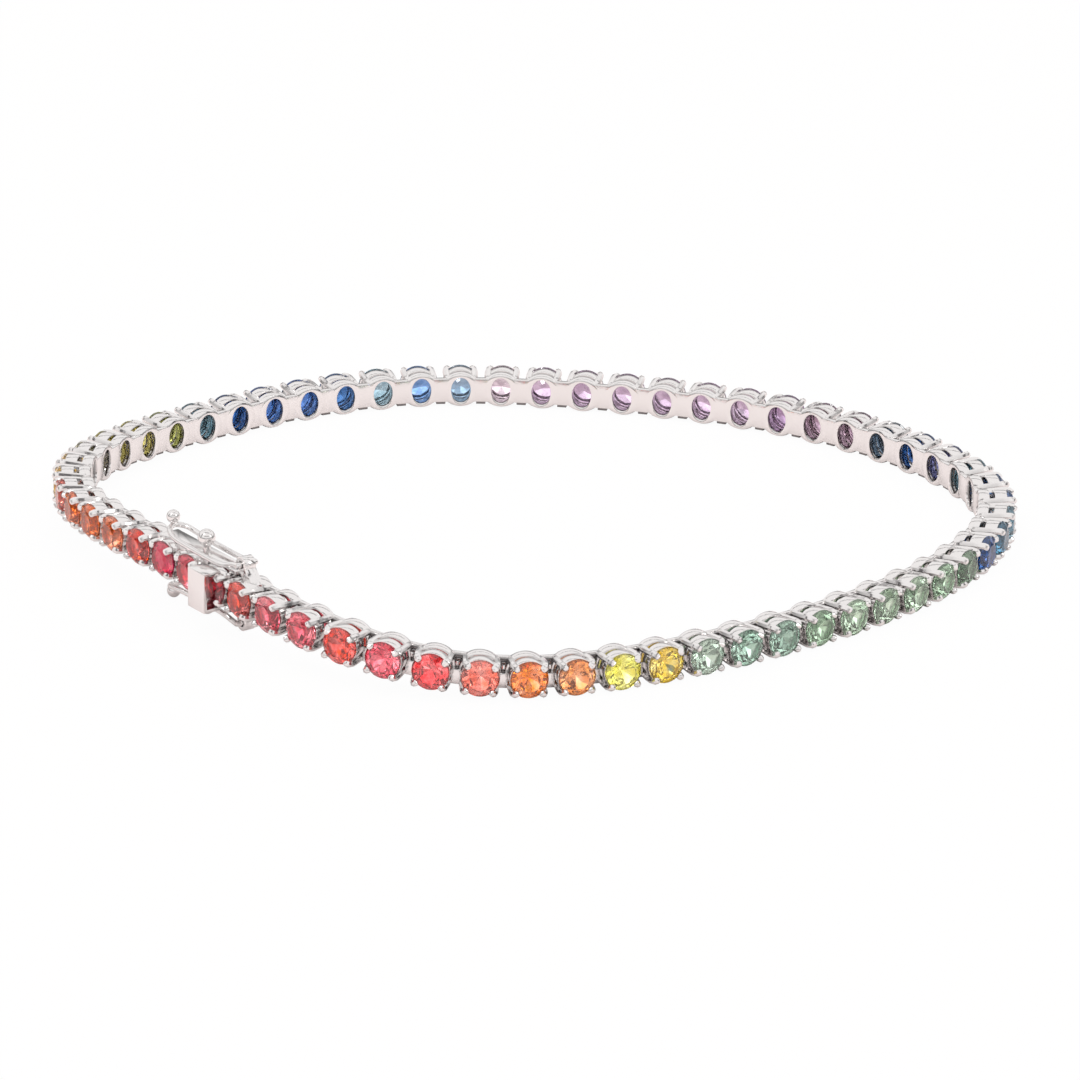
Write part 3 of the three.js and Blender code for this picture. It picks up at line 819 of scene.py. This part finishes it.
def clasp_box():
    """Two scalloped walls with their posts, three blocks tucked between them, and two settings."""
    bm = bmesh.new()
    outline = [(BOX_LEFT, BOX_FRONT)]
    for station in (0, 1):
        for across in SCALLOP_STEPS:
            dip = SCALLOP * (1 - (across / SCALLOP_HALF_WIDTH) ** 2)
            outline.append((station_x(station) + across, BOX_FRONT + dip))
    outline += [(FRONT_CUT, BOX_FRONT), (FRONT_CUT, CUT_DEPTH), (BOX_RIGHT, CUT_DEPTH)]
    outline += [(BOX_RIGHT, INNER_FACE), (BOX_LEFT, INNER_FACE)]
    for up in (-1, 1):
        wall = [Vector((x, y, up * HALF_WIDTH)) for x, y in outline]
        extruded_outline(bm, wall, (0, 0, -up * BOX_WALL), BOX_ROUNDING)
        snap_post(bm, up)
    half = HALF_WIDTH - BOX_WALL + TUCK
    dip_front = BOX_FRONT + SCALLOP
    for low, high in (
        ((BOX_LEFT, INNER_FACE - BOX_WALL), (BOX_RIGHT, INNER_FACE)),
        ((BOX_LEFT, BOX_FRONT + LEFT_END_INSET), (BOX_LEFT + LEFT_END_LENGTH, INNER_FACE - TUCK)),
        ((BOX_LEFT + FRONT_WALL_INSET, dip_front), (FRONT_CUT, dip_front + FRONT_WALL)),
    ):
        rounded_block(bm, (*low, -half), (*high, half), BOX_ROUNDING)
    for station in (0, 1):
        before = set(bm.verts)
        spun_ring(bm, BOX_CUP, width=CUP_WIDTH)
        add_prongs(bm, SETTING_PATH)
        new = [v for v in bm.verts if v not in before]
        bmesh.ops.translate(bm, vec=(station_x(station), 0, 0), verts=new)
    tidy_normals(bm)
    # Painted shade: the inside of the box goes grey towards its open end.
    shade_layer = bm.verts.layers.float.new("recess_shade")
    for vert in bm.verts:
        within = abs(vert.co.z) < MOUTH_HALF_HEIGHT and vert.co.y < SHADE_BACK
        at_mouth = smooth_step(vert.co.x - BOX_RIGHT + MOUTH_DEPTH, MOUTH_FADE)
        vert[shade_layer] = MOUTH_SHADE * at_mouth * within
    return pattern(bm, "clasp box")


box = stamped([(clasp_box(), clasp_place)])
finished("clasp_box_shell", box, POLISHED, BODY, "white_gold", "clasp_box")


# The tongue: a folded strip that springs open in the box, with a stone of its own. The press tab stands
# in front of that stone, bent round it above and below. The last link and the two lugs are soldered to
# its end, a lug above and one below, each with a bore for its catch.
TONGUE_LENGTH = 6.65
TONGUE_PLAY = 0.15
TONGUE_LEFT = station_x(2) + STONE_RADIUS - TONGUE_LENGTH
TONGUE_BACK = INNER_FACE - BOX_WALL - TONGUE_PLAY
TONGUE_HALF = HALF_WIDTH - BOX_WALL - TONGUE_PLAY
STRIP_RIGHT = station_x(3) - 0.6
STRIP_THICKNESS = 0.2
STRIP_ROUNDING = 0.04
LEAF_RIGHT = station_x(2) + 1.1
LEAF_FRONT = 0.32
LEAF_BACK = 0.5
TONGUE_CUP = (0.98, 1.15, -0.70, -0.1, 0.08)
TONGUE_SEAT = (0.55, 0.85, -0.1, 0.4, 0.08)
TONGUE_PRONG_PATH = [(0.5, 0.4, 0.6), (0.62, 0.0, 0.78), *SETTING_PATH[1:]]
TAB_HALF_WIDTH = 0.93
TAB_HALF_HEIGHT = 1.32
TAB_FRONT = -2.1
TAB_THICKNESS = 0.25
TAB_ROUNDING = 0.045
LUG_HALF = 0.4
LUG_HEAD = 0.53
LUG_HEAD_STEPS = 14
LUG_HEAD_FROM = -20
LUG_HEAD_TURN = 260
LUG_FOOT_HALF = 0.55
LUG_ROUNDING = 0.13
AXIS_X = station_x(3) - 0.8
AXIS_Z = HALF_WIDTH + 0.74
BORE_RADIUS = 0.26
BORE_SIDES = 16


def press_tab(bm, x):
    """A strip bent into a C: extruded from its flat outline and rounded at every edge."""
    arm = TAB_HALF_HEIGHT - TAB_THICKNESS
    outline = [
        (GIRDLE_DEPTH, arm),
        (GIRDLE_DEPTH, TAB_HALF_HEIGHT),
        (TAB_FRONT, TAB_HALF_HEIGHT),
        (TAB_FRONT, -TAB_HALF_HEIGHT),
        (GIRDLE_DEPTH, -TAB_HALF_HEIGHT),
        (GIRDLE_DEPTH, -arm),
        (TAB_FRONT + TAB_THICKNESS, -arm),
        (TAB_FRONT + TAB_THICKNESS, arm),
    ]
    corners = [Vector((x - TAB_HALF_WIDTH, y, z)) for y, z in outline]
    extruded_outline(bm, corners, (TAB_HALF_WIDTH * 2, 0, 0), TAB_ROUNDING)


def lug(bm, up):
    """A plate with a round head and the catch's bore: an outline with a hole, filled and extruded."""
    foot = HALF_WIDTH - BOX_WALL
    outline = [(station_x(3) - LUG_FOOT_HALF, foot), (station_x(3) + LUG_FOOT_HALF, foot)]
    for i in range(LUG_HEAD_STEPS + 1):
        angle = math.radians(LUG_HEAD_FROM + LUG_HEAD_TURN * i / LUG_HEAD_STEPS)
        outline.append((AXIS_X + LUG_HEAD * math.cos(angle), AXIS_Z + LUG_HEAD * math.sin(angle)))
    bore = []
    for i in range(BORE_SIDES):
        angle = math.tau * i / BORE_SIDES
        bore.append((AXIS_X + BORE_RADIUS * math.cos(angle), AXIS_Z + BORE_RADIUS * math.sin(angle)))
    loops = []
    for corners in (outline, bore):
        verts = [bm.verts.new((x, POST_DEPTH - LUG_HALF, up * z)) for x, z in corners]
        loops += [bm.edges.new((a, b)) for a, b in zip(verts, verts[1:] + verts[:1])]
    front_face = loops[0].verts[0].co.y
    filled = bmesh.ops.triangle_fill(
        bm,
        use_beauty=True,
        use_dissolve=False,
        edges=loops,
        normal=(0, 1, 0),
    )["geom"]
    faces = [item for item in filled if isinstance(item, bmesh.types.BMFace)]
    grown = bmesh.ops.extrude_face_region(bm, geom=faces)["geom"]
    moved = [item for item in grown if isinstance(item, bmesh.types.BMVert)]
    bmesh.ops.translate(bm, vec=(0, LUG_HALF * 2, 0), verts=moved)
    whole = faces_at(moved + [vert for vert in bm.verts if vert.co.y == front_face])
    bmesh.ops.recalc_face_normals(bm, faces=whole)
    edges = dict.fromkeys(edge for face in whole for edge in face.edges)
    sharp = [edge for edge in edges if edge.calc_face_angle(0) > math.radians(60)]
    rims = [edge for edge in sharp if abs(edge.verts[0].co.y - edge.verts[1].co.y) < LEAST_GAP]
    rounded_edges(bm, rims, LUG_ROUNDING, segments=3)


def clasp_tongue():
    bm = bmesh.new()
    fold = (TONGUE_LEFT, LEAF_FRONT, -TONGUE_HALF)
    strip = (TONGUE_LEFT, TONGUE_BACK - STRIP_THICKNESS, -TONGUE_HALF)
    rounded_block(bm, strip, (STRIP_RIGHT, TONGUE_BACK, TONGUE_HALF), STRIP_ROUNDING)
    rounded_block(bm, fold, (LEAF_RIGHT, LEAF_BACK, TONGUE_HALF), STRIP_ROUNDING)
    rounded_block(bm, fold, (TONGUE_LEFT + STRIP_THICKNESS, TONGUE_BACK, TONGUE_HALF), STRIP_ROUNDING)
    before = set(bm.verts)
    spun_ring(bm, TONGUE_CUP, width=CUP_WIDTH)
    spun_ring(bm, TONGUE_SEAT)
    add_prongs(bm, TONGUE_PRONG_PATH)
    new = [v for v in bm.verts if v not in before]
    bmesh.ops.translate(bm, vec=(station_x(2), 0, 0), verts=new)
    press_tab(bm, station_x(2))
    for up in (-1, 1):
        lug(bm, up)
    tidy_normals(bm)
    bm.verts.layers.float.new("recess_shade")
    return pattern(bm, "clasp tongue")


last_link = clasp_place @ Matrix.Translation((station_x(3), 0, 0))
tongue = stamped([(clasp_tongue(), clasp_place), (LINK_SETTING, last_link)])
finished("clasp_tongue_and_last_link", tongue, POLISHED, BODY, "white_gold", "clasp_tongue")
clasp_stones = [clasp_place @ Matrix.Translation((station_x(i), 0, 0)) for i in range(CLASP_STATIONS)]
set_stones("stones_clasp", clasp_stones, ["ruby", "raspberry", "raspberry", "scarlet"])


# The safety catches: a loop of spring wire each, closed by the pin that turns in the lug's bore. It
# snaps over the post's ball, and a small ball soldered on its far end lifts it.
WIRE_RADIUS = 0.18
CATCH_SIDES = 14
CATCH_STEPS = 10
CATCH_PLAY = 0.13
AT_LUG = LUG_HALF + CATCH_PLAY + WIRE_RADIUS
AT_POST = POST_BALL_RADIUS + CATCH_PLAY + WIRE_RADIUS
CATCH_LOW = HALF_WIDTH + 0.38
CATCH_LENGTH = 8.3
TIP = Vector((AXIS_X - CATCH_LENGTH, POST_DEPTH, HALF_WIDTH + 0.8))
STRAND = [
    (AXIS_X, AT_LUG, AXIS_Z),
    (AXIS_X - 0.6, AT_LUG, AXIS_Z - 0.09),
    (AXIS_X - 1.7, AT_POST, CATCH_LOW),
    (POST_X, AT_POST, CATCH_LOW),
    (TIP.x + 1.5, AT_POST, CATCH_LOW + 0.09),
    (TIP.x + 0.45, AT_POST * 0.72, (CATCH_LOW + TIP.z) / 2 + 0.09),
]
PIN_END = 0.1
PIN_END_RADIUS = WIRE_RADIUS * 0.8
TIP_BALL_RADIUS = 0.44
TIP_TO_BALL = Vector((-0.12, 0, 0.52))
TIP_NECK_RADII = (0.15, 0.12, 0.15)
TIP_NECK_SIDES = 10


def smooth_path(points, steps):
    """The open curve through the points, with its ends as they are."""
    ends = [points[0] * 2 - points[1], *points, points[-1] * 2 - points[-2]]
    path = []
    for a, b, c, d in zip(ends, ends[1:], ends[2:], ends[3:]):
        for i in range(steps):
            t = i / steps
            bend = a - b * 2.5 + c * 2 - d * 0.5
            path.append(b + (c - a) * 0.5 * t + bend * t**2 + ((b - c) * 1.5 + (d - a) * 0.5) * t**3)
    return [*path, points[-1]]


def safety_catch():
    """Two strands from the lug to the tip in one wire, the pin across its ends, and the tip's ball."""
    bm = bmesh.new()
    near = [Vector((x, POST_DEPTH - y, z)) for x, y, z in STRAND]
    far = [Vector((x, POST_DEPTH + y, z)) for x, y, z in reversed(STRAND)]
    path = smooth_path([*near, TIP, *far], CATCH_STEPS)
    drawn_wire(bm, path, [WIRE_RADIUS] * len(path), CATCH_SIDES)
    ends = (-AT_LUG - PIN_END, -AT_LUG, AT_LUG, AT_LUG + PIN_END)
    pin = [Vector((AXIS_X, POST_DEPTH + y, AXIS_Z)) for y in ends]
    drawn_wire(bm, pin, [PIN_END_RADIUS, WIRE_RADIUS, WIRE_RADIUS, PIN_END_RADIUS], CATCH_SIDES)
    top = TIP + TIP_TO_BALL
    drawn_wire(bm, [TIP, TIP.lerp(top, 0.5), top], TIP_NECK_RADII, TIP_NECK_SIDES)
    ball(bm, top, TIP_BALL_RADIUS)
    tidy_normals(bm)
    bm.verts.layers.float.new("recess_shade")
    return pattern(bm, "safety catch")


CATCH = safety_catch()
above = stamped([(CATCH, clasp_place)])
finished("catch_above", above, POLISHED, "catch_top", "white_gold", "safety_catch_top")
below = stamped([(CATCH, clasp_place @ Matrix.Diagonal((1, 1, -1, 1)))])
bmesh.ops.recalc_face_normals(below, faces=below.faces)
finished("catch_below", below, POLISHED, "catch_bottom", "white_gold", "safety_catch_bottom")


# The surface, the light and the camera: a pale table in a white light tent. Five grey strips, seen only
# in reflections, draw grey lines on the polished rounds. The table is bleached for the camera alone.
TABLE_GAP = 0.00002
TABLE_BLEACH = 0.965


def plain(name, colour, roughness):
    material = bpy.data.materials.new(name)
    material.use_nodes = True
    shader = material.node_tree.nodes["Principled BSDF"]
    shader.inputs["Base Color"].default_value = (*colour, 1)
    shader.inputs["Roughness"].default_value = roughness
    return material


def grey_strip(name, size, place):
    """A card that faces the bracelet, for reflections only."""
    bpy.ops.mesh.primitive_plane_add(size=1, location=place)
    strip = bpy.context.object
    strip.name = name
    strip.scale = (*size, 1)
    strip.rotation_euler = (Vector() - Vector(place)).to_track_quat("Z", "Y").to_euler()
    strip.data.materials.append(GREY)
    strip.visible_camera = False
    strip.visible_diffuse = False
    strip.visible_shadow = False


def soft_light(name, place, size, power, tint=(1, 1, 1), glossy=True):
    """A rectangular lamp that shines on the bracelet. Where glossy is false no reflection shows it."""
    data = bpy.data.lights.new(name, "AREA")
    data.shape = "RECTANGLE"
    data.size, data.size_y = size
    data.energy = power
    data.color = tint
    light = bpy.data.objects.new(name, data)
    light.visible_glossy = glossy
    light.location = place
    light.rotation_euler = (-Vector(place)).to_track_quat("-Z", "Y").to_euler()
    bpy.context.scene.collection.objects.link(light)


bpy.ops.mesh.primitive_plane_add(size=6, location=(0, 0, -TABLE_GAP))
floor = bpy.context.object
floor.name = "table_top"
table = plain("pale table", (0.72, 0.665, 0.655), 0.6)
parts, joins = table.node_tree.nodes, table.node_tree.links
bleached = parts.new("ShaderNodeEmission")
bleached.inputs["Strength"].default_value = 1.0
looked_at = parts.new("ShaderNodeLightPath")
how_white = parts.new("ShaderNodeMath")
how_white.operation = "MULTIPLY"
how_white.inputs[1].default_value = TABLE_BLEACH
blend = parts.new("ShaderNodeMixShader")
joins.new(looked_at.outputs["Is Camera Ray"], how_white.inputs[0])
joins.new(how_white.outputs[0], blend.inputs["Fac"])
joins.new(parts["Principled BSDF"].outputs["BSDF"], blend.inputs[1])
joins.new(bleached.outputs["Emission"], blend.inputs[2])
joins.new(blend.outputs["Shader"], parts["Material Output"].inputs["Surface"])
floor.data.materials.append(table)
GREY = plain("grey card", (0.10, 0.10, 0.105), 0.9)
grey_strip("grey_strip_above", (0.5, 0.05), (0.0, -0.05, 0.42))
grey_strip("grey_strip_front_high", (0.6, 0.07), (0.0, -0.40, 0.30))
grey_strip("grey_strip_left", (0.07, 0.4), (-0.42, -0.1, 0.16))
grey_strip("grey_strip_right", (0.07, 0.4), (0.42, -0.05, 0.16))
grey_strip("grey_strip_behind", (0.6, 0.03), (0.0, 0.34, 0.34))

# The tent: white to the camera, darker towards its foot in reflections, and patchy through the stones,
# so that their facets sparkle.
world = bpy.data.worlds.new("light tent")
world.use_nodes = True
tent, wires = world.node_tree.nodes, world.node_tree.links
backdrop = tent["Background"]
backdrop.inputs["Color"].default_value = (1, 1, 1, 1)
aimed = tent.new("ShaderNodeTexCoord")
height = tent.new("ShaderNodeSeparateXYZ")
rise = remapped(tent, (0.0, 0.3), (0.22, 1.0))
walls = tent.new("ShaderNodeBackground")
walls.inputs["Color"].default_value = (1.0, 0.985, 0.98, 1)
patches = tent.new("ShaderNodeTexNoise")
patches.inputs["Scale"].default_value = 2.6
glints = remapped(tent, (0.35, 0.65), (0.7, 3.2))
through_stones = tent.new("ShaderNodeBackground")
ray = tent.new("ShaderNodeLightPath")
in_stone = tent.new("ShaderNodeMixShader")
either = tent.new("ShaderNodeMixShader")
wires.new(aimed.outputs["Generated"], height.inputs["Vector"])
wires.new(height.outputs["Z"], rise.inputs["Value"])
wires.new(rise.outputs["Result"], walls.inputs["Strength"])
wires.new(aimed.outputs["Generated"], patches.inputs["Vector"])
wires.new(patches.outputs["Fac"], glints.inputs["Value"])
wires.new(glints.outputs["Result"], through_stones.inputs["Strength"])
wires.new(ray.outputs["Is Transmission Ray"], in_stone.inputs["Fac"])
wires.new(walls.outputs["Background"], in_stone.inputs[1])
wires.new(through_stones.outputs["Background"], in_stone.inputs[2])
wires.new(ray.outputs["Is Camera Ray"], either.inputs["Fac"])
wires.new(in_stone.outputs["Shader"], either.inputs[1])
wires.new(backdrop.outputs["Background"], either.inputs[2])
wires.new(either.outputs["Shader"], tent["World Output"].inputs["Surface"])
bpy.context.scene.world = world
soft_light("wide_light_above", place=(0.0, -0.1, 0.6), size=(0.8, 0.8), power=2.4, glossy=False)
soft_light("key_from_above_left", place=(-0.25, -0.2, 0.45), size=(0.09, 0.09), power=0.25)
soft_light(
    "fill_from_right",
    place=(0.4, -0.2, 0.25),
    size=(0.08, 0.12),
    power=0.15,
    tint=(1.0, 0.98, 0.95),
)
bpy.context.scene.view_settings.view_transform = "Standard"

LOOK_AT = Vector((0.00042, 0, -0.00004))
CAMERA_ELEVATION = math.radians(20.51)
CAMERA_DISTANCE = 0.3956
CAMERA_ROLL = math.radians(0.87)
camera_data = bpy.data.cameras.new("camera")
camera_data.lens = 200.8
camera_data.sensor_width = 36
camera_data.clip_start = 0.01
camera = bpy.data.objects.new("camera", camera_data)
away = Vector((0, -math.cos(CAMERA_ELEVATION), math.sin(CAMERA_ELEVATION)))
camera.location = LOOK_AT + away * CAMERA_DISTANCE
level = (-away).to_track_quat("-Z", "Y").to_matrix()
camera.rotation_euler = (level @ Matrix.Rotation(CAMERA_ROLL, 3, "Z")).to_euler()
bpy.context.scene.collection.objects.link(camera)
bpy.context.scene.camera = camera
